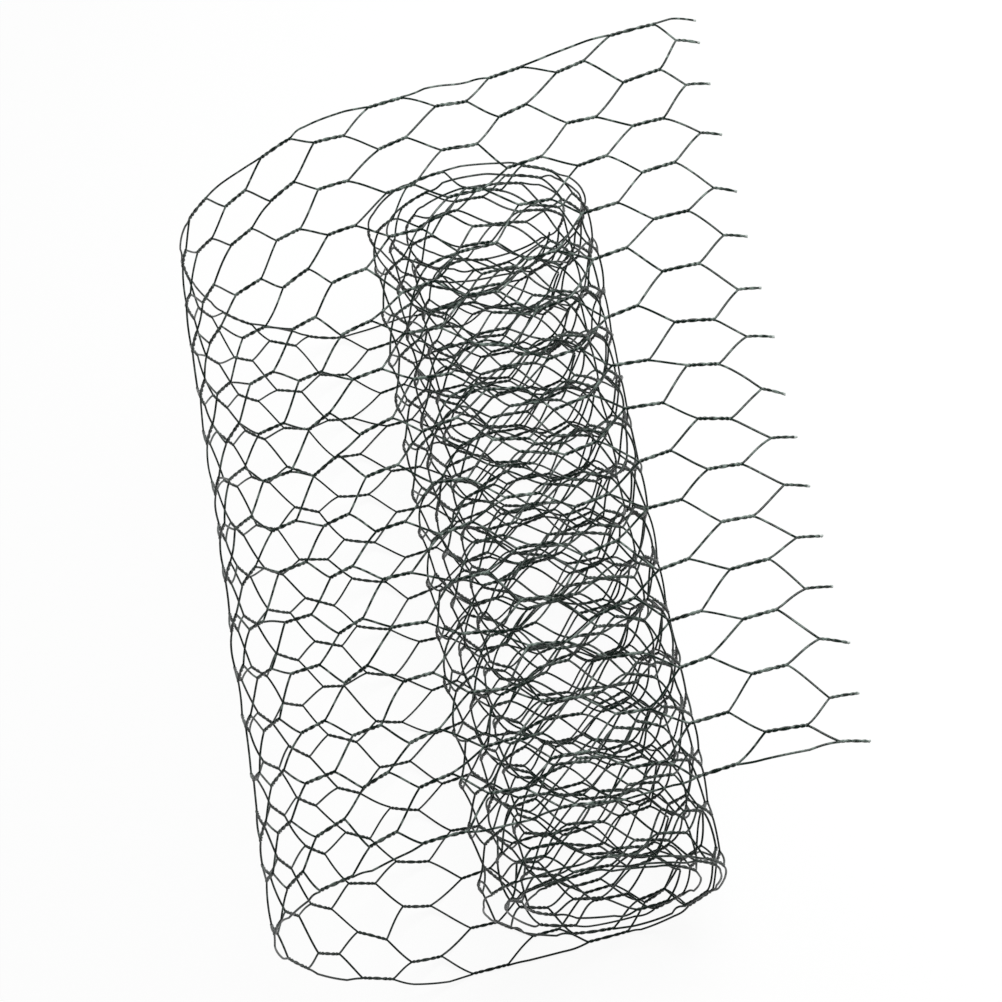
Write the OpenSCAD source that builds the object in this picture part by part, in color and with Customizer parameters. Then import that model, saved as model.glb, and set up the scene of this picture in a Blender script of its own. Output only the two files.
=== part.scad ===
// A short roll of plastic-coated hexagonal wire netting, lying on its side.
// The inner turns are wound into a roll. The last turn has sprung open: it lies flat under
// the roll, bends up beside it and comes back over the top to the cut end.

/* [Netting] */
// Width of the netting, from edge wire to edge wire
netting_w = 400; // [250:5:600]
// Thickness of the netting across a twist of two wires
netting_t = 3; // [1.6:0.1:4]

/* [Wound turns] */
// Outer diameter of the wound turns
roll_d = 129; // [110:1:150]
// Diameter of the open bore inside the innermost turn
bore_d = 80; // [50:1:90]
// Turns that can be counted on each end
turns = 3; // [2:1:4]
// Length in the middle of the width where the wound turns are joined, with no gaps between them
joined_w = 120; // [40:5:240]

/* [Loose turn] */
// Height of the wound turns above the surface that the flat run lies on
roll_lift = 8; // [4:0.5:12]
// Length of the flat run on the surface
flat_run = 99; // [80:1:160]
// Bend radius where the flat run lifts off the surface
heel_r = 45; // [30:1:70]
// Angle turned in that bend
heel_sweep = 60; // [40:1:75]
// Bend radius of the side, up to where it stands upright
side_r = 120; // [80:1:180]
// Length of the upright stretch of the side
side_run = 17; // [5:1:40]
// Bend radius of the crown, from the side over to the top
crown_r = 122; // [100:1:160]
// Slope of the top run, falling towards the cut end
top_slope = 4; // [1:1:10]
// Length of the top run
top_run = 165; // [100:1:220]
// Bend radius of the lip at the cut end
lip_r = 50; // [30:1:80]
// Angle turned in the lip
lip_sweep = 40; // [10:1:60]

/* [Hidden] */
$fn = 128;

wire_colour = [0.24, 0.28, 0.26];
// A cut reaches past a face by this much
past = 1;
// The loose turn starts this far inside the outermost wound turn, so that the two run together
tuck = 0.5;
// Largest angle between two points along a bend
bend_step = 3;

roll_r = roll_d / 2;
bore_r = bore_d / 2;
roll_z = roll_r + roll_lift;
// How far the gaps between the turns reach in from each end
gap_depth = (netting_w - joined_w) / 2;
// Radial distance from one wound turn to the next
turn_pitch = (roll_r - bore_r - netting_t) / (turns - 1);
// Bend radius of the stretch that leaves the roll and comes down to the surface
leave_r = roll_z - netting_t / 2;

// The loose turn along its middle line, as stretches of [bend radius, angle turned, straight length]
stretches = [
    [leave_r, 90, 0],
    [0, 0, flat_run],
    [heel_r, heel_sweep, 0],
    [side_r, 90 - heel_sweep, 0],
    [0, 0, side_run],
    [crown_r, 90 + top_slope, 0],
    [0, 0, top_run],
    [lip_r, lip_sweep, 0]
];
stretch_count = len(stretches);

// Heading in degrees at the start of stretch n; the loose turn starts downwards and winds clockwise
function heading(n) = n == 0 ? -90 : heading(n - 1) - stretches[n - 1][1];

// Point on a bend of radius r round its middle m, where the heading is h
function on_bend(m, r, h) = m + r * [-sin(h), cos(h)];

// Middle of a bend of radius r that starts at point p with heading h
function bend_middle(p, r, h) = p - r * [-sin(h), cos(h)];

// Start of stretch n in the plane across the roll, with the roll's axis over zero
function start(n) =
    n == 0
    ? [roll_r - tuck - netting_t / 2, roll_z]
    : let (s = stretches[n - 1], p = start(n - 1), h = heading(n - 1))
      s[0] == 0
      ? p + s[2] * [cos(h), sin(h)]
      : on_bend(bend_middle(p, s[0], h), s[0], h - s[1]);

// Points along stretch n without its last one, each as [point, heading]
function stretch_points(n) =
    let (s = stretches[n], p = start(n), h = heading(n), steps = ceil(s[1] / bend_step))
    s[0] == 0
    ? [[p, h]]
    : [for (i = [0 : steps - 1])
        let (here = h - s[1] * i / steps)
        [on_bend(bend_middle(p, s[0], h), s[0], here), here]];

cut_end = [start(stretch_count), heading(stretch_count)];
middle_line = concat([for (n = [0 : stretch_count - 1]) each stretch_points(n)], [cut_end]);

// Point beside a [point, heading] of the middle line, to the left of its heading
function beside(q, distance) = q[0] + distance * [-sin(q[1]), cos(q[1])];

outer_face = [for (q = middle_line) beside(q, netting_t / 2)];
inner_face = [for (i = [len(middle_line) - 1 : -1 : 0]) beside(middle_line[i], -netting_t / 2)];

// The section's box runs from the upright side to the cut end, and the origin is under its middle
side_x = start(4)[0] - netting_t / 2;
cut_x = beside(cut_end, netting_t / 2)[0];
middle_x = (side_x + cut_x) / 2;

// The wound turns: a turned wall round the bore
module wound_turns() {
    translate([0, roll_z])
        rotate_extrude()
            translate([bore_r, 0])
                square([roll_r - bore_r, netting_w]);
}

// The turn that has sprung open, as one bent sheet
module loose_turn() {
    linear_extrude(netting_w)
        polygon(concat(outer_face, inner_face));
}

// The gaps that set the wound turns apart on both ends
module end_gaps() {
    for (i = [0 : turns - 2], end = [-past, netting_w - gap_depth])
        translate([0, roll_z, end])
            rotate_extrude()
                translate([bore_r + netting_t + i * turn_pitch, 0])
                    square([turn_pitch - netting_t, gap_depth + past]);
}

// The whole piece, turned from its section to lie along Y
module netting_roll() {
    color(wire_colour)
        translate([-middle_x, netting_w / 2, 0])
            rotate([90, 0, 0])
                difference() {
                    union() {
                        wound_turns();
                        loose_turn();
                    }
                    end_gaps();
                }
}

netting_roll();
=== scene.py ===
"""A short roll of plastic-coated hexagonal wire netting, lying on its side with its last turn sprung open.

The strip is woven by one Geometry Nodes tree: wires side by side, each twisted in turn with its left and
its right neighbour, laid along a path that starts at the cut end, runs over the top, down the side and
along the floor, and winds up inside the roll. All sizes are in metres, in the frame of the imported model.
"""
import math

import bpy
from mathutils import Matrix, Vector


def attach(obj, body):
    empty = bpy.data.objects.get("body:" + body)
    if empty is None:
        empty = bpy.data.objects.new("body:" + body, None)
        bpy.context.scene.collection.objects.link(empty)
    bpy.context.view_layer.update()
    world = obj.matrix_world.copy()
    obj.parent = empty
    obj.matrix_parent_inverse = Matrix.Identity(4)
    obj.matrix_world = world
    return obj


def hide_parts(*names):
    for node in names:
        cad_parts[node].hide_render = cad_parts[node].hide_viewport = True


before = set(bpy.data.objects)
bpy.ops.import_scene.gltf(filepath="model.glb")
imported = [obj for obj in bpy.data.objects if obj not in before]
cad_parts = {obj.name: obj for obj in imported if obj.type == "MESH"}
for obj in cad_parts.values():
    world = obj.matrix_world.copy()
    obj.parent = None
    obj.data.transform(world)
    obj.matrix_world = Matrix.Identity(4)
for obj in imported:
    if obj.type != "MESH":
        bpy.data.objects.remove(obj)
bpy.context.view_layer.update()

MM = 0.001
NODE = "netting_roll"
BODY = "root"

# The strip of netting
STRIP_WIDTH = 400 * MM
WIRE_COUNT = 31
WIRE_RADIUS = 0.58 * MM
COLUMN_PITCH = 33.7 * MM
TWIST_LENGTH = 18.4 * MM
EDGE_TWIST_LENGTH = 22.5 * MM
TWIST_TURNS = 3.0
FIRST_TWIST_MIDDLE = 8.8 * MM
# Share by which a twist turns faster at both ends and slower midway
TWIST_SLOWING = 0.5
# How far the wires of a stub at the cut end stand apart, as a share of the wire's radius
STUB_TIGHTNESS = 0.4
# Share of the other twists' unevenness that a twist on an edge has
EDGE_LOOSENESS = 0.2

# Places along the strip, from the cut end: it comes down to the floor, and it is wound up
FLOOR_FROM = 350 * MM
FLOOR_TO = 500 * MM
WOUND_FROM = 650 * MM
WOUND_TO = 900 * MM

# Points along one wire in one column of meshes
TWIST_POINTS = 30
SLANT_POINTS = 7
TUBE_SIDES = 6
PATH_RESOLUTION = 12

# Random numbers. A column's numbers start this far after those of the column before
NUMBER_STRIDE = 64
TWIST_SEEDS = (11, 23, 37, 53)
STUB_SEED = 5
BOW_ACROSS_SEED = 71
BOW_OUT_SEED = 83

# The wound turns, as a spiral round the roll's axis. The outermost turn has a reach for every twelfth of a
# turn, from the right side over the top, in mm; further in the turns grow round
ROLL_MIDDLE = Vector((-0.5, 76.0)) * MM
ROLL_DRIFT = Vector((1.0, -1.5)) * MM
OUTER_REACH = (61, 62, 64, 69, 68, 66, 61, 65, 69, 66, 59, 59)
INNER_REACH = 42.0
ROLL_TURNS = 3
# Shares of the wound length: where the strip starts to work its way in, and how long that takes
WINDING_START = 0.12
WINDING_SHARE = 0.78
# The innermost turn is out of round by this share, with this many waves to a turn
INNER_WAVE = 0.04
INNER_WAVES = 2.6

# The loose turn seen from the near end, from the cut end back to where it leaves the roll, in mm
LOOSE_TURN = (
    (169.5, 195), (157, 208), (140, 213), (114, 215), (75, 214), (44, 215), (22, 223), (-28, 228),
    (-56, 223), (-82, 212), (-113, 199), (-141, 174), (-159, 143), (-165, 104), (-160, 66), (-146, 38),
    (-130, 13), (-110, 1.8), (-78, 1.4), (-40, 1.4), (-6, 3), (18, 14), (35, 27), (49, 43),
)

# The camera, from the two edges of the strip in the photograph
PICTURE_SIZE = 1002
FOCAL_PIXELS = 2887
SENSOR = 36.0
CAMERA_EYE = Vector((0.3773, -0.6297, 1.4512))
CAMERA_AIM = Vector((-0.0124, 0.0191, 0.1))
PICTURE_UP = Vector((0.288, 0.893, 0.346))

# The light, and the white that is mixed into what the camera sees of the floor; the rest keeps the shadow
LAMP_PLACE = Vector((0.55, 0.25, 1.1))
LAMP_AIM = Vector((0, 0, 0.1))
LAMP_SIDE = 0.7
LAMP_WATTS = 17
SURROUND_STRENGTH = 0.12
FLOOR_HALF = 6.0
WHITE_SHARE = 0.9
WHITE_STRENGTH = 1.02

# Sizes that the netting's tree hands on to the tree for one twist
TWIST_SIZES = (
    ("Wires", "NodeSocketInt"), ("Strip width", "NodeSocketFloat"), ("Column pitch", "NodeSocketFloat"),
    ("First twist middle", "NodeSocketFloat"), ("Twist length", "NodeSocketFloat"),
    ("Edge twist length", "NodeSocketFloat"), ("Edge inset", "NodeSocketFloat"),
    ("Edge bow", "NodeSocketFloat"), ("Length jitter", "NodeSocketFloat"),
    ("Across jitter", "NodeSocketFloat"), ("Along jitter", "NodeSocketFloat"), ("Lean", "NodeSocketFloat"),
)


def linear(hex_colour):
    """An sRGB hex value as linear RGBA."""
    channels = [int(hex_colour[i:i + 2], 16) / 255 for i in (1, 3, 5)]
    return tuple(c / 12.92 if c <= 0.04045 else ((c + 0.055) / 1.055) ** 2.4 for c in channels) + (1.0,)


def add(tree, kind, inputs=None, **settings):
    """Adds a node with its settings; each input is a value or the socket that feeds it."""
    node = tree.nodes.new(kind)
    for name, value in settings.items():
        setattr(node, name, value)
    for key, value in (inputs or {}).items():
        if isinstance(value, bpy.types.NodeSocket):
            tree.links.new(value, node.inputs[key])
        else:
            node.inputs[key].default_value = value
    return node


def new_tree(name, inputs, outputs):
    """A Geometry Nodes tree with named inputs and outputs, and its two end nodes."""
    tree = bpy.data.node_groups.new(name, "GeometryNodeTree")
    for label, kind in inputs:
        tree.interface.new_socket(label, in_out="INPUT", socket_type=kind)
    for label, kind in outputs:
        tree.interface.new_socket(label, in_out="OUTPUT", socket_type=kind)
    return tree, tree.nodes.new("NodeGroupInput").outputs, tree.nodes.new("NodeGroupOutput").inputs


def coated_wire():
    """PVC-coated steel wire: smooth, glossy, dark green, scuffed paler in spots, with a painted highlight
    on the top run and the twists' crests; bare at the cut.
    """
    material = bpy.data.materials.new("pvc_coated_wire")
    material.use_nodes = True
    tree = material.node_tree
    shader = tree.nodes["Principled BSDF"]
    place = add(tree, "ShaderNodeTexCoord").outputs["Object"]
    # Patches of slightly different green a few centimetres long, from batch and from dust
    patches = add(tree, "ShaderNodeTexNoise", {
        "Vector": place, "Scale": 1 / (30 * MM), "Detail": 2.0}).outputs[0]
    green = add(tree, "ShaderNodeMix", {0: patches, 6: linear("#020b07"), 7: linear("#0a241b")},
                data_type="RGBA").outputs[2]
    # Real scuffs a few millimetres long, plus a painted highlight that makes the run on top and the twists'
    # crests paler
    spots = add(tree, "ShaderNodeTexNoise", {
        "Vector": place, "Scale": 1 / (4 * MM), "Detail": 3.0}).outputs[0]
    height = add(tree, "ShaderNodeSeparateXYZ", {0: place}).outputs[2]
    # Painted highlight: the pale share grows with height, so the run on top looks lit from above
    wear_and_top_sheen = add(tree, "ShaderNodeMapRange", {
        "Value": height, "From Min": 60 * MM, "From Max": 215 * MM,
        "To Min": 0.06, "To Max": 0.6}).outputs[0]
    # Painted highlight: the twists' crests are made paler, as if they caught the lamp
    crest = add(tree, "ShaderNodeAttribute", attribute_name="crest").outputs["Fac"]
    crest_sheen = add(tree, "ShaderNodeMapRange", {
        "Value": crest, "From Min": 0.7, "From Max": 1.0, "To Min": 0.0, "To Max": 0.12}).outputs[0]
    scuffs_and_crest_sheen = add(tree, "ShaderNodeMath", {0: spots, 1: crest_sheen}, operation="ADD").outputs[0]
    rubbed_and_sheen = add(tree, "ShaderNodeMapRange", {
        "Value": scuffs_and_crest_sheen, "From Min": 0.5, "From Max": 0.66, "To Min": 0.0, "To Max": wear_and_top_sheen}).outputs[0]
    # The pale colour serves both the real scuffs and the painted highlight
    worn_and_sheen = add(tree, "ShaderNodeMix", {0: rubbed_and_sheen, 6: green, 7: linear("#8a9991")},
               data_type="RGBA").outputs[2]
    # Zinc-coated steel shows where the wire was cut
    cut = add(tree, "ShaderNodeAttribute", attribute_name="cut").outputs["Fac"]
    ends = add(tree, "ShaderNodeMix", {0: cut, 6: worn_and_sheen, 7: linear("#a7aeaa")}, data_type="RGBA").outputs[2]
    tree.links.new(ends, shader.inputs["Base Color"])
    gloss = add(tree, "ShaderNodeMapRange", {
        "Value": spots, "From Min": 0.3, "From Max": 0.7, "To Min": 0.2, "To Max": 0.4}).outputs[0]
    tree.links.new(gloss, shader.inputs["Roughness"])
    shader.inputs["IOR"].default_value = 1.53
    shader.inputs["Specular IOR Level"].default_value = 0.32
    return material


def twist_place_tree():
    """Where a wire twists in a column: the twist's middle, half length and lean, and the wire's side."""
    tree, given, result = new_tree("twist_place", (
        ("Wire", "NodeSocketInt"), ("Column", "NodeSocketInt"),
    ) + TWIST_SIZES, (
        ("Across", "NodeSocketFloat"), ("Along", "NodeSocketFloat"), ("Half length", "NodeSocketFloat"),
        ("Lean", "NodeSocketFloat"), ("Side", "NodeSocketFloat"),
    ))
    last = add(tree, "ShaderNodeMath", {0: given["Wires"], 1: 1.0}, operation="SUBTRACT").outputs[0]
    total = add(tree, "ShaderNodeMath", {0: given["Wire"], 1: given["Column"]}, operation="ADD").outputs[0]
    odd = add(tree, "ShaderNodeMath", {0: total, 1: 2.0}, operation="MODULO").outputs[0]
    # In an odd place a wire twists with the next one, otherwise with the one before
    side = add(tree, "ShaderNodeMath", {0: odd, 1: 2.0, 2: -1.0}, operation="MULTIPLY_ADD").outputs[0]
    partner = add(tree, "ShaderNodeMath", {0: given["Wire"], 1: side}, operation="ADD").outputs[0]
    kept = add(tree, "ShaderNodeClamp", {"Value": partner, "Min": 0.0, "Max": last}).outputs[0]
    paired = add(tree, "ShaderNodeMath", {0: partner, 1: kept, 2: 0.1}, operation="COMPARE").outputs[0]
    before = add(tree, "ShaderNodeMath", {0: given["Wire"], 1: -1.0}, operation="ADD").outputs[0]
    pair = add(tree, "ShaderNodeMath", {0: before, 1: odd}, operation="ADD").outputs[0]
    # A twist sits midway between its two wires, and one with an edge wire sits on the edge
    midway = add(tree, "ShaderNodeMath", {0: pair, 1: 0.5}, operation="ADD").outputs[0]
    inner_low = add(tree, "ShaderNodeMath", {0: pair, 1: 0.5}, operation="GREATER_THAN").outputs[0]
    last_pair = add(tree, "ShaderNodeMath", {0: last, 1: -1.5}, operation="ADD").outputs[0]
    inner_high = add(tree, "ShaderNodeMath", {0: pair, 1: last_pair}, operation="LESS_THAN").outputs[0]
    inner = add(tree, "ShaderNodeMath", {0: inner_low, 1: inner_high}, operation="MULTIPLY").outputs[0]
    far_lane = add(tree, "ShaderNodeMath", {0: last, 1: given["Edge inset"]},
                   operation="SUBTRACT").outputs[0]
    edge = add(tree, "ShaderNodeMix", {0: inner_low, 2: given["Edge inset"], 3: far_lane},
               data_type="FLOAT").outputs[0]
    lane = add(tree, "ShaderNodeMix", {0: inner, 2: edge, 3: midway}, data_type="FLOAT").outputs[0]
    half_width = add(tree, "ShaderNodeMath", {0: given["Strip width"], 1: 0.5},
                     operation="MULTIPLY").outputs[0]
    near_edge = add(tree, "ShaderNodeMath", {0: half_width, 1: -1.0}, operation="MULTIPLY").outputs[0]
    even_across = add(tree, "ShaderNodeMapRange", {
        "Value": lane, "From Min": given["Edge inset"], "From Max": far_lane,
        "To Min": half_width, "To Max": near_edge}).outputs[0]
    # Between its twists an edge wire bows outwards
    outwards = add(tree, "ShaderNodeMath", {0: even_across}, operation="SIGN").outputs[0]
    free = add(tree, "ShaderNodeMath", {0: 1.0, 1: paired}, operation="SUBTRACT").outputs[0]
    edge_bow = add(tree, "ShaderNodeMath", {0: free, 1: given["Edge bow"]}, operation="MULTIPLY").outputs[0]
    bowed_across = add(tree, "ShaderNodeMath", {0: outwards, 1: edge_bow, 2: even_across},
                       operation="MULTIPLY_ADD").outputs[0]
    # Both wires of a pair draw the same random numbers
    row = add(tree, "ShaderNodeMath", {0: given["Column"], 1: NUMBER_STRIDE, 2: pair},
              operation="MULTIPLY_ADD").outputs[0]
    number = add(tree, "FunctionNodeFloatToInt", {0: row}, rounding_mode="ROUND").outputs[0]
    draws = [
        add(tree, "FunctionNodeRandomValue", {"ID": number, "Seed": seed, 2: -1.0, 3: 1.0}).outputs[1]
        for seed in TWIST_SEEDS
    ]
    loose = add(tree, "ShaderNodeMix", {0: inner, 2: EDGE_LOOSENESS, 3: 1.0}, data_type="FLOAT").outputs[0]
    shift = add(tree, "ShaderNodeMath", {0: draws[0], 1: given["Across jitter"]},
                operation="MULTIPLY").outputs[0]
    across = add(tree, "ShaderNodeMath", {0: shift, 1: loose, 2: bowed_across},
                 operation="MULTIPLY_ADD").outputs[0]
    even_along = add(tree, "ShaderNodeMath", {
        0: given["Column"], 1: given["Column pitch"], 2: given["First twist middle"]},
        operation="MULTIPLY_ADD").outputs[0]
    along = add(tree, "ShaderNodeMath", {0: draws[1], 1: given["Along jitter"], 2: even_along},
                operation="MULTIPLY_ADD").outputs[0]
    length = add(tree, "ShaderNodeMix", {0: inner, 2: given["Edge twist length"], 3: given["Twist length"]},
                 data_type="FLOAT").outputs[0]
    stretch = add(tree, "ShaderNodeMath", {0: draws[3], 1: given["Length jitter"], 2: 1.0},
                  operation="MULTIPLY_ADD").outputs[0]
    uneven = add(tree, "ShaderNodeMath", {0: length, 1: stretch}, operation="MULTIPLY").outputs[0]
    half_length = add(tree, "ShaderNodeMath", {0: uneven, 1: 0.5}, operation="MULTIPLY").outputs[0]
    drawn_lean = add(tree, "ShaderNodeMath", {0: draws[2], 1: given["Lean"]},
                     operation="MULTIPLY").outputs[0]
    lean = add(tree, "ShaderNodeMath", {0: drawn_lean, 1: loose}, operation="MULTIPLY").outputs[0]
    paired_side = add(tree, "ShaderNodeMath", {0: side, 1: paired}, operation="MULTIPLY").outputs[0]
    tree.links.new(across, result["Across"])
    tree.links.new(along, result["Along"])
    tree.links.new(half_length, result["Half length"])
    tree.links.new(lean, result["Lean"])
    tree.links.new(paired_side, result["Side"])
    return tree


def hex_netting_tree():
    """Hexagonal netting along a path: wires twisted in pairs, with slant wires between the twists."""
    twist_place = twist_place_tree()
    tree, given, result = new_tree("hex_netting", (
        ("Path", "NodeSocketObject"), ("First point", "NodeSocketInt"), ("Points", "NodeSocketInt"),
        ("Twist points", "NodeSocketInt"), ("Slant points", "NodeSocketInt"),
        ("Twist turns", "NodeSocketFloat"), ("Wire radius", "NodeSocketFloat"),
        ("Tube sides", "NodeSocketInt"), ("Twist tightness", "NodeSocketFloat"),
        ("Cut slant", "NodeSocketFloat"), ("Stub jitter", "NodeSocketFloat"),
        ("Bow", "NodeSocketFloat"), ("S bend", "NodeSocketFloat"),
        ("Wave", "NodeSocketFloat"), ("Wave length", "NodeSocketFloat"),
        ("Wander", "NodeSocketFloat"), ("Wander length", "NodeSocketFloat"),
        ("Pull", "NodeSocketFloat"), ("Pull length", "NodeSocketFloat"), ("Slack", "NodeSocketFloat"),
        ("Bare length", "NodeSocketFloat"), ("Material", "NodeSocketMaterial"),
    ) + TWIST_SIZES, (("Geometry", "NodeSocketGeometry"),))
    line = add(tree, "GeometryNodeCurvePrimitiveLine").outputs[0]
    points = add(tree, "GeometryNodeResampleCurve", {"Curve": line, "Count": given["Points"]}).outputs[0]
    copies = add(tree, "GeometryNodeDuplicateElements", {"Geometry": points, "Amount": given["Wires"]},
                 domain="SPLINE")
    wire = copies.outputs["Duplicate Index"]
    # The point's column, and its place in that column. A hair more keeps rounding from losing a column
    here = add(tree, "GeometryNodeSplineParameter").outputs["Index"]
    index = add(tree, "ShaderNodeMath", {0: here, 1: given["First point"]}, operation="ADD").outputs[0]
    per_column = add(tree, "ShaderNodeMath", {0: given["Twist points"], 1: given["Slant points"]},
                     operation="ADD").outputs[0]
    share = add(tree, "ShaderNodeMath", {0: index, 1: per_column}, operation="DIVIDE").outputs[0]
    nudged = add(tree, "ShaderNodeMath", {0: share, 1: 0.001}, operation="ADD").outputs[0]
    column = add(tree, "ShaderNodeMath", {0: nudged}, operation="FLOOR").outputs[0]
    done = add(tree, "ShaderNodeMath", {0: column, 1: per_column}, operation="MULTIPLY").outputs[0]
    step = add(tree, "ShaderNodeMath", {0: index, 1: done}, operation="SUBTRACT").outputs[0]
    next_column = add(tree, "ShaderNodeMath", {0: column, 1: 1.0}, operation="ADD").outputs[0]
    shared = {label: given[label] for label, _ in TWIST_SIZES}
    this_twist = add(tree, "GeometryNodeGroup", node_tree=twist_place)
    next_twist = add(tree, "GeometryNodeGroup", node_tree=twist_place)
    for twist, number in ((this_twist, column), (next_twist, next_column)):
        for label, socket in {"Wire": wire, "Column": number, **shared}.items():
            tree.links.new(socket, twist.inputs[label])
    this = this_twist.outputs
    after = next_twist.outputs
    # Ends of this twist and start of the next one, along the strip; the first twist is cut to a stub
    this_from = add(tree, "ShaderNodeMath", {0: this["Along"], 1: this["Half length"]},
                    operation="SUBTRACT").outputs[0]
    this_to = add(tree, "ShaderNodeMath", {0: this["Along"], 1: this["Half length"]},
                  operation="ADD").outputs[0]
    after_from = add(tree, "ShaderNodeMath", {0: after["Along"], 1: after["Half length"]},
                     operation="SUBTRACT").outputs[0]
    next_wire = add(tree, "ShaderNodeMath", {0: wire, 1: 1.0}, operation="ADD").outputs[0]
    stub_pair = add(tree, "ShaderNodeMath", {0: next_wire, 1: 0.5}, operation="MULTIPLY").outputs[0]
    stub_number = add(tree, "FunctionNodeFloatToInt", {0: stub_pair}, rounding_mode="FLOOR").outputs[0]
    stub = add(tree, "FunctionNodeRandomValue", {
        "ID": stub_number, "Seed": STUB_SEED, 2: 0.0, 3: given["Stub jitter"]}).outputs[1]
    last = add(tree, "ShaderNodeMath", {0: given["Wires"], 1: 1.0}, operation="SUBTRACT").outputs[0]
    slanted_cut = add(tree, "ShaderNodeMapRange", {
        "Value": wire, "From Min": 0.0, "From Max": last,
        "To Min": given["Cut slant"], "To Max": 0.0}).outputs[0]
    cut_at = add(tree, "ShaderNodeMath", {0: stub, 1: slanted_cut}, operation="ADD").outputs[0]
    this_start = add(tree, "ShaderNodeMath", {0: this_from, 1: cut_at}, operation="MAXIMUM").outputs[0]
    twist_share = add(tree, "ShaderNodeMath", {0: step, 1: given["Twist points"]},
                      operation="DIVIDE").outputs[0]
    in_twist = add(tree, "ShaderNodeMath", {0: twist_share, 1: 1.0001}, operation="LESS_THAN").outputs[0]
    past_twist = add(tree, "ShaderNodeMath", {0: step, 1: given["Twist points"]},
                     operation="SUBTRACT").outputs[0]
    slant_share = add(tree, "ShaderNodeMath", {0: past_twist, 1: given["Slant points"]},
                      operation="DIVIDE").outputs[0]
    along_twist = add(tree, "ShaderNodeMix", {0: twist_share, 2: this_start, 3: this_to},
                      data_type="FLOAT").outputs[0]
    along_slant = add(tree, "ShaderNodeMix", {0: slant_share, 2: this_to, 3: after_from},
                      data_type="FLOAT").outputs[0]
    along = add(tree, "ShaderNodeMix", {0: in_twist, 2: along_slant, 3: along_twist},
                data_type="FLOAT").outputs[0]
    # In a twist the wire winds round the twist's middle line, faster at both ends than midway
    turn_from = add(tree, "ShaderNodeMath", {0: along_twist, 1: this_from}, operation="SUBTRACT").outputs[0]
    turn_length = add(tree, "ShaderNodeMath", {0: this["Half length"], 1: 2.0},
                      operation="MULTIPLY").outputs[0]
    turned = add(tree, "ShaderNodeMath", {0: turn_from, 1: turn_length}, operation="DIVIDE").outputs[0]
    full_turn = add(tree, "ShaderNodeMath", {0: given["Twist turns"], 1: math.tau},
                    operation="MULTIPLY").outputs[0]
    once = add(tree, "ShaderNodeMath", {0: turned, 1: math.tau}, operation="MULTIPLY").outputs[0]
    slowing = add(tree, "ShaderNodeMath", {0: once}, operation="SINE").outputs[0]
    paced = add(tree, "ShaderNodeMath", {0: slowing, 1: TWIST_SLOWING / math.tau, 2: turned},
                operation="MULTIPLY_ADD").outputs[0]
    angle = add(tree, "ShaderNodeMath", {0: paced, 1: full_turn}, operation="MULTIPLY").outputs[0]
    # The two wires of a stub at the cut end lie closer together
    inner_column = add(tree, "ShaderNodeMath", {0: column, 1: 0.5}, operation="GREATER_THAN").outputs[0]
    spread = add(tree, "ShaderNodeMix", {0: inner_column, 2: STUB_TIGHTNESS, 3: given["Twist tightness"]},
                 data_type="FLOAT").outputs[0]
    reach = add(tree, "ShaderNodeMath", {0: given["Wire radius"], 1: spread},
                operation="MULTIPLY").outputs[0]
    this_reach = add(tree, "ShaderNodeMath", {0: this["Side"], 1: reach}, operation="MULTIPLY").outputs[0]
    after_reach = add(tree, "ShaderNodeMath", {0: after["Side"], 1: reach}, operation="MULTIPLY").outputs[0]
    cosine = add(tree, "ShaderNodeMath", {0: angle}, operation="COSINE").outputs[0]
    sine = add(tree, "ShaderNodeMath", {0: angle}, operation="SINE").outputs[0]
    from_middle = add(tree, "ShaderNodeMath", {0: along_twist, 1: this["Along"]},
                      operation="SUBTRACT").outputs[0]
    leaned = add(tree, "ShaderNodeMath", {0: from_middle, 1: this["Lean"], 2: this["Across"]},
                 operation="MULTIPLY_ADD").outputs[0]
    across_twist = add(tree, "ShaderNodeMath", {0: this_reach, 1: cosine, 2: leaned},
                       operation="MULTIPLY_ADD").outputs[0]
    out_twist = add(tree, "ShaderNodeMath", {0: this_reach, 1: sine}, operation="MULTIPLY").outputs[0]
    # Between twists the wire runs nearly straight, with a slight S bend and a random bow
    this_end = add(tree, "ShaderNodeMath", {0: this["Half length"], 1: this["Lean"], 2: this["Across"]},
                   operation="MULTIPLY_ADD").outputs[0]
    slant_from = add(tree, "ShaderNodeMath", {0: this_end, 1: this_reach}, operation="ADD").outputs[0]
    after_lean = add(tree, "ShaderNodeMath", {0: after["Half length"], 1: after["Lean"]},
                     operation="MULTIPLY").outputs[0]
    after_end = add(tree, "ShaderNodeMath", {0: after["Across"], 1: after_lean},
                    operation="SUBTRACT").outputs[0]
    slant_to = add(tree, "ShaderNodeMath", {0: after_end, 1: after_reach}, operation="ADD").outputs[0]
    eased = add(tree, "ShaderNodeMapRange", {"Value": slant_share},
                interpolation_type="SMOOTHSTEP").outputs[0]
    bent_share = add(tree, "ShaderNodeMix", {0: given["S bend"], 2: slant_share, 3: eased},
                     data_type="FLOAT").outputs[0]
    straight = add(tree, "ShaderNodeMix", {0: bent_share, 2: slant_from, 3: slant_to},
                   data_type="FLOAT").outputs[0]
    row = add(tree, "ShaderNodeMath", {0: column, 1: NUMBER_STRIDE, 2: wire},
              operation="MULTIPLY_ADD").outputs[0]
    slant_number = add(tree, "FunctionNodeFloatToInt", {0: row}, rounding_mode="ROUND").outputs[0]
    bow_across = add(tree, "FunctionNodeRandomValue", {
        "ID": slant_number, "Seed": BOW_ACROSS_SEED, 2: -1.0, 3: 1.0}).outputs[1]
    bow_out = add(tree, "FunctionNodeRandomValue", {
        "ID": slant_number, "Seed": BOW_OUT_SEED, 2: -1.0, 3: 1.0}).outputs[1]
    half_turn = add(tree, "ShaderNodeMath", {0: slant_share, 1: math.pi}, operation="MULTIPLY").outputs[0]
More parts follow.
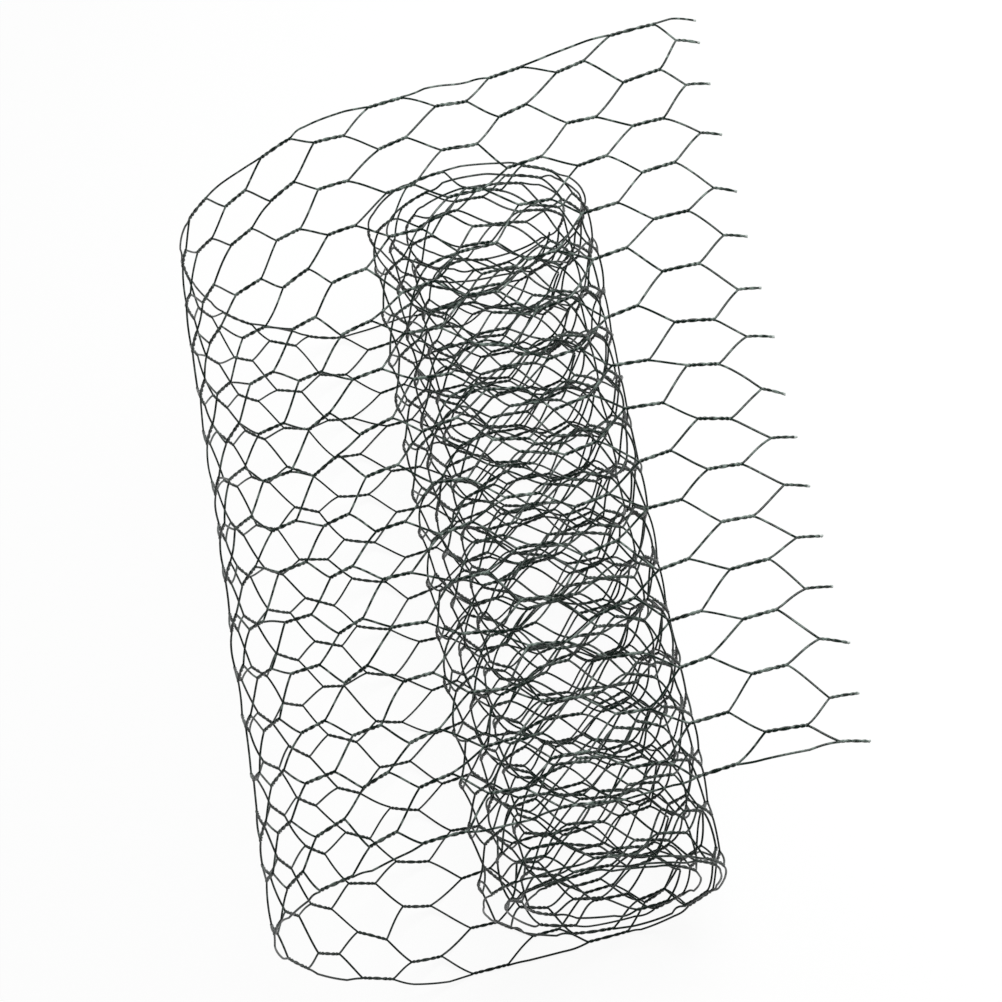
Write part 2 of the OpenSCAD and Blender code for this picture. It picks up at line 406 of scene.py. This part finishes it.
    arch = add(tree, "ShaderNodeMath", {0: half_turn}, operation="SINE").outputs[0]
    bow = add(tree, "ShaderNodeMath", {0: arch, 1: given["Bow"]}, operation="MULTIPLY").outputs[0]
    across_slant = add(tree, "ShaderNodeMath", {0: bow_across, 1: bow, 2: straight},
                       operation="MULTIPLY_ADD").outputs[0]
    out_slant = add(tree, "ShaderNodeMath", {0: bow_out, 1: bow}, operation="MULTIPLY").outputs[0]
    across = add(tree, "ShaderNodeMix", {0: in_twist, 2: across_slant, 3: across_twist},
                 data_type="FLOAT").outputs[0]
    out = add(tree, "ShaderNodeMix", {0: in_twist, 2: out_slant, 3: out_twist},
              data_type="FLOAT").outputs[0]
    # A slow wave keeps the sheet from lying in a perfect curve
    strip_place = add(tree, "ShaderNodeCombineXYZ", {0: along, 1: across}).outputs[0]
    wave_scale = add(tree, "ShaderNodeMath", {0: 1.0, 1: given["Wave length"]},
                     operation="DIVIDE").outputs[0]
    waves = add(tree, "ShaderNodeTexNoise", {"Vector": strip_place, "Scale": wave_scale, "Detail": 1.0},
                noise_dimensions="2D").outputs[0]
    level = add(tree, "ShaderNodeMath", {0: waves, 1: 2.0, 2: -1.0}, operation="MULTIPLY_ADD").outputs[0]
    raised = add(tree, "ShaderNodeMath", {0: level, 1: given["Wave"], 2: out},
                 operation="MULTIPLY_ADD").outputs[0]
    # The meshes at the cut end are pulled towards the near edge, most in the middle of the strip
    edge_share = add(tree, "ShaderNodeMath", {0: across, 1: given["Strip width"]},
                     operation="DIVIDE").outputs[0]
    edge_angle = add(tree, "ShaderNodeMath", {0: edge_share, 1: math.pi}, operation="MULTIPLY").outputs[0]
    midmost = add(tree, "ShaderNodeMath", {0: edge_angle}, operation="COSINE").outputs[0]
    bulge = add(tree, "ShaderNodeMath", {0: midmost, 1: midmost}, operation="MULTIPLY").outputs[0]
    past_stub = add(tree, "ShaderNodeMath", {0: along, 1: given["Twist length"]},
                    operation="MAXIMUM").outputs[0]
    columns_in = add(tree, "ShaderNodeMath", {0: past_stub, 1: given["Pull length"]},
                     operation="DIVIDE").outputs[0]
    fading = add(tree, "ShaderNodeMath", {0: math.exp(-1), 1: columns_in}, operation="POWER").outputs[0]
    pull = add(tree, "ShaderNodeMath", {0: fading, 1: given["Pull"]}, operation="MULTIPLY").outputs[0]
    # Those on the floor lie a little towards the far edge
    slack = add(tree, "ShaderNodeMapRange", {
        "Value": along, "From Min": FLOOR_FROM, "From Max": FLOOR_TO, "To Max": given["Slack"]}).outputs[0]
    shift = add(tree, "ShaderNodeMath", {0: slack, 1: pull}, operation="SUBTRACT").outputs[0]
    pulled = add(tree, "ShaderNodeMath", {0: bulge, 1: shift, 2: across},
                 operation="MULTIPLY_ADD").outputs[0]
    # In the roll the strip wanders sideways a little, so that its turns don't lie square on each other
    wander_scale = add(tree, "ShaderNodeMath", {0: 1.0, 1: given["Wander length"]},
                       operation="DIVIDE").outputs[0]
    wander_noise = add(tree, "ShaderNodeTexNoise", {"W": along, "Scale": wander_scale, "Detail": 0.0},
                       noise_dimensions="1D").outputs[0]
    wander_level = add(tree, "ShaderNodeMath", {0: wander_noise, 1: 2.0, 2: -1.0},
                       operation="MULTIPLY_ADD").outputs[0]
    wound_in = add(tree, "ShaderNodeMapRange", {
        "Value": along, "From Min": WOUND_FROM, "From Max": WOUND_TO, "To Max": given["Wander"]}).outputs[0]
    wandered = add(tree, "ShaderNodeMath", {0: wander_level, 1: wound_in, 2: pulled},
                   operation="MULTIPLY_ADD").outputs[0]
    # Lay the strip along the path
    path = add(tree, "GeometryNodeObjectInfo", {"Object": given["Path"]}).outputs["Geometry"]
    smooth = add(tree, "GeometryNodeCurveSplineType", {"Curve": path}, spline_type="CATMULL_ROM").outputs[0]
    fine = add(tree, "GeometryNodeSetSplineResolution", {
        0: smooth, "Resolution": PATH_RESOLUTION}).outputs[0]
    sample = add(tree, "GeometryNodeSampleCurve", {"Curves": fine, "Length": along}, mode="LENGTH")
    outward = add(tree, "ShaderNodeVectorMath", {0: (0.0, 1.0, 0.0), 1: sample.outputs["Tangent"]},
                  operation="CROSS_PRODUCT").outputs[0]
    lifted = add(tree, "ShaderNodeVectorMath", {0: outward, "Scale": raised}, operation="SCALE").outputs[0]
    sideways = add(tree, "ShaderNodeCombineXYZ", {1: wandered}).outputs[0]
    on_path = add(tree, "ShaderNodeVectorMath", {0: sample.outputs["Position"], 1: lifted},
                  operation="ADD").outputs[0]
    unlimited = add(tree, "ShaderNodeVectorMath", {0: on_path, 1: sideways}, operation="ADD").outputs[0]
    # Nothing sinks into the surface that the flat run lies on
    parts = add(tree, "ShaderNodeSeparateXYZ", {0: unlimited}).outputs
    height = add(tree, "ShaderNodeMath", {0: parts[2], 1: given["Wire radius"]},
                 operation="MAXIMUM").outputs[0]
    place = add(tree, "ShaderNodeCombineXYZ", {0: parts[0], 1: parts[1], 2: height}).outputs[0]
    laid = add(tree, "GeometryNodeSetPosition", {
        "Geometry": copies.outputs[0], "Position": place}).outputs[0]
    # The cut tips are marked for the material
    bare_to = add(tree, "ShaderNodeMath", {0: cut_at, 1: given["Bare length"]}, operation="ADD").outputs[0]
    bare = add(tree, "ShaderNodeMath", {0: along, 1: bare_to}, operation="LESS_THAN").outputs[0]
    wires = add(tree, "GeometryNodeStoreNamedAttribute", {
        "Geometry": laid, "Name": "cut", "Value": bare}).outputs[0]
    # So are the crests of the twists, which the material paints paler as a highlight
    height_share = add(tree, "ShaderNodeMath", {0: sine}, operation="ABSOLUTE").outputs[0]
    crest = add(tree, "ShaderNodeMath", {0: height_share, 1: in_twist}, operation="MULTIPLY").outputs[0]
    crested = add(tree, "GeometryNodeStoreNamedAttribute", {
        "Geometry": wires, "Name": "crest", "Value": crest}).outputs[0]
    ring = add(tree, "GeometryNodeCurvePrimitiveCircle", {
        "Resolution": given["Tube sides"], "Radius": given["Wire radius"]}).outputs[0]
    tubes = add(tree, "GeometryNodeCurveToMesh", {
        "Curve": crested, "Profile Curve": ring, "Fill Caps": True}).outputs[0]
    rounded = add(tree, "GeometryNodeSetShadeSmooth", {0: tubes}).outputs[0]
    real = add(tree, "GeometryNodeRealizeInstances", {0: rounded}).outputs[0]
    dressed = add(tree, "GeometryNodeSetMaterial", {0: real, "Material": given["Material"]}).outputs[0]
    tree.links.new(dressed, result["Geometry"])
    return tree


def section_path():
    """The strip's path in the plane across the roll, from the cut end to the innermost turn."""
    points = [Vector((x, z)) * MM for x, z in LOOSE_TURN]
    per_turn = len(OUTER_REACH)
    steps = ROLL_TURNS * per_turn
    for i in range(steps + 1):
        angle = i * math.tau / per_turn
        # The strip stays outside for about a third of a turn, then works its way in
        share = min(max((i / steps - WINDING_START) / WINDING_SHARE, 0.0), 1.0)
        depth = share * share * (3 - 2 * share)
        inner = INNER_REACH * (1 + INNER_WAVE * math.sin(INNER_WAVES * angle))
        reach = (OUTER_REACH[i % per_turn] * (1 - depth) + inner * depth) * MM
        middle = ROLL_MIDDLE + ROLL_DRIFT * depth
        points.append(middle + Vector((math.cos(angle), math.sin(angle))) * reach)
    curve = bpy.data.curves.new("netting_path", "CURVE")
    curve.dimensions = "3D"
    spline = curve.splines.new("POLY")
    spline.points.add(len(points) - 1)
    for point, p in zip(spline.points, points):
        point.co = (p.x, 0.0, p.y, 1.0)
    path = bpy.data.objects.new("netting_path", curve)
    bpy.context.scene.collection.objects.link(path)
    length = sum((q - p).length for p, q in zip(points, points[1:]))
    return path, length


def weave(name, tree, values):
    """Runs the tree on an empty mesh and keeps the result as a plain mesh."""
    piece = bpy.data.objects.new(name, bpy.data.meshes.new(name))
    bpy.context.scene.collection.objects.link(piece)
    modifier = piece.modifiers.new("weave", "NODES")
    modifier.node_group = tree
    for socket in tree.interface.items_tree:
        if socket.item_type == "SOCKET" and socket.in_out == "INPUT":
            modifier[socket.identifier] = values[socket.name]
    graph = bpy.context.evaluated_depsgraph_get()
    mesh = bpy.data.meshes.new_from_object(piece.evaluated_get(graph))
    piece.modifiers.remove(modifier)
    piece.data = mesh
    mesh.name = name
    return piece


def netting():
    """The whole strip, woven in lengths that follow each other from the cut end to the innermost turn."""
    tree = hex_netting_tree()
    path, length = section_path()
    per_column = TWIST_POINTS + SLANT_POINTS
    columns = int((length - FIRST_TWIST_MIDDLE) / COLUMN_PITCH)
    # Name, first and last column, tightness of the twists, bow and S bend of the wires between them
    lengths = (
        ("netting_top_run", 0, 11, 0.76, 0.6 * MM, 0.12),
        ("netting_floor_run", 11, 22, 0.62, 0.6 * MM, 0.12),
        ("netting_outer_turn", 22, 33, 0.7, 1.3 * MM, 0.3),
        ("netting_middle_turn", 33, 42, 0.7, 1.3 * MM, 0.3),
        ("netting_inner_turn", 42, columns, 0.7, 1.3 * MM, 0.3),
    )
    values = {
        "Path": path, "Material": coated_wire(), "Wires": WIRE_COUNT, "Wire radius": WIRE_RADIUS,
        "Twist points": TWIST_POINTS, "Slant points": SLANT_POINTS, "Tube sides": TUBE_SIDES,
        "Strip width": STRIP_WIDTH, "Column pitch": COLUMN_PITCH, "First twist middle": FIRST_TWIST_MIDDLE,
        "Twist length": TWIST_LENGTH, "Edge twist length": EDGE_TWIST_LENGTH, "Twist turns": TWIST_TURNS,
        "Edge inset": 0.66, "Edge bow": 1.6 * MM, "Cut slant": 4.5 * MM, "Stub jitter": 2.0 * MM,
        "Length jitter": 0.13, "Across jitter": 2.8 * MM, "Along jitter": 1.4 * MM, "Lean": 0.17,
        "Wave": 2.0 * MM, "Wave length": 90 * MM, "Wander": 5.0 * MM, "Wander length": 220 * MM,
        "Pull": 14 * MM, "Pull length": 52 * MM, "Slack": 3 * MM, "Bare length": 1.6 * MM,
    }
    for name, first, last, tightness, bow, s_bend in lengths:
        values["Twist tightness"] = tightness
        values["Bow"] = bow
        values["S bend"] = s_bend
        values["First point"] = first * per_column
        values["Points"] = (last - first) * per_column + 1
        piece = weave(name, tree, values)
        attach(piece, BODY)
        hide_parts(NODE)
    bpy.data.objects.remove(path)


def floor():
    """A plain white table top that keeps a faint shadow."""
    mesh = bpy.data.meshes.new("floor")
    half = FLOOR_HALF
    corners = [(-half, -half, 0), (half, -half, 0), (half, half, 0), (-half, half, 0)]
    mesh.from_pydata(corners, [], [(0, 1, 2, 3)])
    top = bpy.data.objects.new("floor", mesh)
    bpy.context.scene.collection.objects.link(top)
    material = bpy.data.materials.new("white_table_paper")
    material.use_nodes = True
    tree = material.node_tree
    out = tree.nodes["Material Output"]
    tree.nodes.remove(tree.nodes["Principled BSDF"])
    paper = add(tree, "ShaderNodeBsdfDiffuse", {"Color": linear("#f4f5f4")}).outputs[0]
    white = add(tree, "ShaderNodeEmission", {"Color": (1, 1, 1, 1), "Strength": WHITE_STRENGTH}).outputs[0]
    ray = add(tree, "ShaderNodeLightPath").outputs
    mirrored = add(tree, "ShaderNodeMath", {0: ray["Is Glossy Ray"], 1: ray["Is Transmission Ray"]},
                   operation="MAXIMUM").outputs[0]
    seen = add(tree, "ShaderNodeMath", {0: ray["Is Camera Ray"], 1: mirrored},
               operation="MAXIMUM").outputs[0]
    share = add(tree, "ShaderNodeMath", {0: seen, 1: WHITE_SHARE}, operation="MULTIPLY").outputs[0]
    mixed = add(tree, "ShaderNodeMixShader", {0: share, 1: paper, 2: white}).outputs[0]
    tree.links.new(mixed, out.inputs["Surface"])
    mesh.materials.append(material)


def lights():
    """A broad soft box above, to the right in the picture, and an even white surround."""
    scene = bpy.context.scene
    world = bpy.data.worlds.new("surround")
    world.use_nodes = True
    back = world.node_tree.nodes["Background"]
    back.inputs["Color"].default_value = (1, 1, 1, 1)
    back.inputs["Strength"].default_value = SURROUND_STRENGTH
    scene.world = world
    lamp = bpy.data.lights.new("soft_box", "AREA")
    lamp.shape = "RECTANGLE"
    lamp.size = LAMP_SIDE
    lamp.size_y = LAMP_SIDE
    lamp.energy = LAMP_WATTS
    box = bpy.data.objects.new("soft_box", lamp)
    box.location = LAMP_PLACE
    box.rotation_euler = (LAMP_AIM - LAMP_PLACE).to_track_quat("-Z", "Y").to_euler()
    scene.collection.objects.link(box)


def camera():
    """The photograph's own view: steeply from above, turned so that the roll stands up in the picture."""
    lens = bpy.data.cameras.new("camera")
    lens.sensor_width = SENSOR
    lens.lens = SENSOR * FOCAL_PIXELS / PICTURE_SIZE
    back = (CAMERA_EYE - CAMERA_AIM).normalized()
    right = PICTURE_UP.cross(back).normalized()
    up = back.cross(right)
    view = bpy.data.objects.new("camera", lens)
    turn = Matrix((right, up, back)).transposed()
    view.matrix_world = Matrix.Translation(CAMERA_EYE) @ turn.to_4x4()
    bpy.context.scene.collection.objects.link(view)
    bpy.context.scene.camera = view


camera()
netting()
floor()
lights()
bpy.context.scene.view_settings.view_transform = "Standard"
